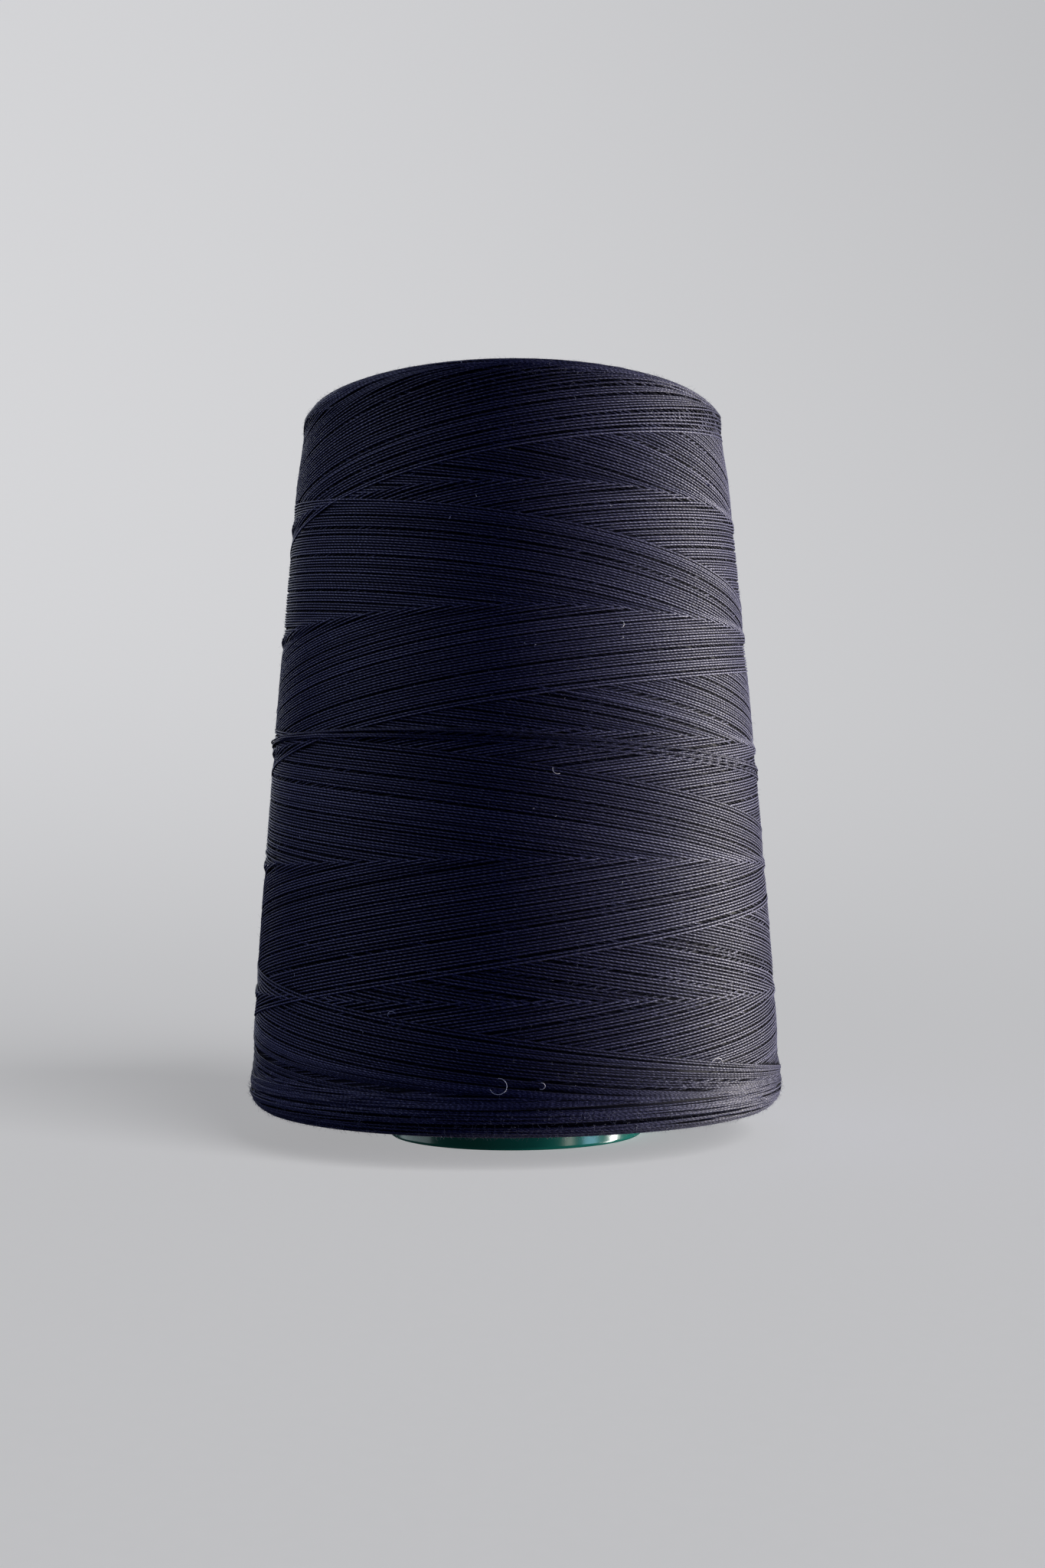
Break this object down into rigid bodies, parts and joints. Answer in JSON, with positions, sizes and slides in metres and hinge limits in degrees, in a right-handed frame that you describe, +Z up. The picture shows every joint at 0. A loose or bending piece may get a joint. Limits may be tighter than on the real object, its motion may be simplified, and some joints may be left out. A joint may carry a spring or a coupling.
{
  "type": "thread cone",
  "caption": "Cone of sewing thread: a large cross-wound tapered thread package on a hollow tapered plastic tube with an open base and a small nose hole.",
  "frame": {"origin": "centre of the tube's base rim, on the plane that the cone stands on", "axes": "+Z up along the cone's axis, from the wide base to the narrow nose; X and Y are equal because both pieces are round"},
  "size_m": [0.0762, 0.0762, 0.11],
  "materials": {
    "tube_plastic": "glossy injection-moulded plastic, dark bottle green",
    "thread": "matt spun sewing thread, dark navy, slightly hairy"
  },
  "bodies": {
    "root": {"cone_tube": "tube_plastic", "thread_package": "thread"}
  },
  "joints": []
}
